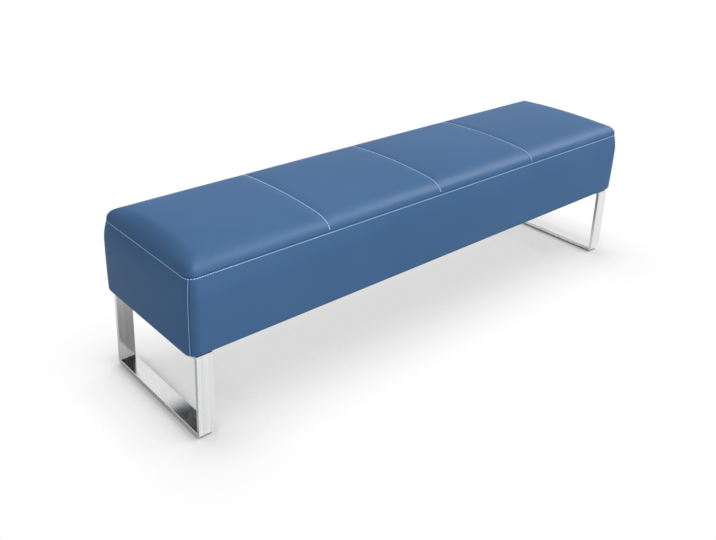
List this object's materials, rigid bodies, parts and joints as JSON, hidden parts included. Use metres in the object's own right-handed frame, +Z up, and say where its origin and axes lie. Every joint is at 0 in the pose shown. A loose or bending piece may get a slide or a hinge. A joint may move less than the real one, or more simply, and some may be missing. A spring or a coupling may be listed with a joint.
{
  "type": "backless waiting bench",
  "caption": "Backless waiting bench: a long leatherette block with sewn top panels, on polished flat-bar loop legs with low glides.",
  "frame": {"origin": "middle of the footprint, on the floor under the glides", "axes": "+X along the bench's length, to the right as seen from the front; +Y to the rear; +Z up"},
  "size_m": [1.6, 0.4, 0.4502],
  "materials": {
    "polished_chrome": "polished chrome plate on steel flat bar",
    "glide_plastic": "moulded, fine matt",
    "zinc_steel": "bright zinc plated",
    "birch_plywood": "raw, sanded",
    "pine": "raw, planed",
    "upholstery_foam": "open-cell polyurethane foam",
    "blue_leatherette": "smooth, semi-matt, fine grain",
    "dust_cloth": "spun-bonded non-woven",
    "topstitch_thread": "twisted polyester thread"
  },
  "bodies": {
    "root": {"left_leg_loop": "polished_chrome", "right_leg_loop": "polished_chrome", "front_left_glide": "glide_plastic", "rear_left_glide": "glide_plastic", "front_right_glide": "glide_plastic", "rear_right_glide": "glide_plastic", "leg_bolts": "zinc_steel", "leg_washers": "zinc_steel", "tee_nuts": "zinc_steel", "left_leg_board": "birch_plywood", "right_leg_board": "birch_plywood", "front_rail": "pine", "rear_rail": "pine", "left_end_rail": "pine", "right_end_rail": "pine", "left_cross_rail": "pine", "centre_cross_rail": "pine", "right_cross_rail": "pine", "front_left_corner_block": "pine", "rear_left_corner_block": "pine", "front_right_corner_block": "pine", "rear_right_corner_block": "pine", "seat_deck": "birch_plywood", "deck_screws": "zinc_steel", "frame_screws": "zinc_steel", "foam_core": "upholstery_foam", "front_side_foam": "upholstery_foam", "rear_side_foam": "upholstery_foam", "left_side_foam": "upholstery_foam", "right_side_foam": "upholstery_foam", "top_panel_1": "blue_leatherette", "top_panel_2": "blue_leatherette", "top_panel_3": "blue_leatherette", "top_panel_4": "blue_leatherette", "front_band": "blue_leatherette", "rear_band": "blue_leatherette", "left_end_band": "blue_leatherette", "right_end_band": "blue_leatherette", "dust_cover": "dust_cloth", "cover_staples": "zinc_steel"}
  },
  "joints": []
}
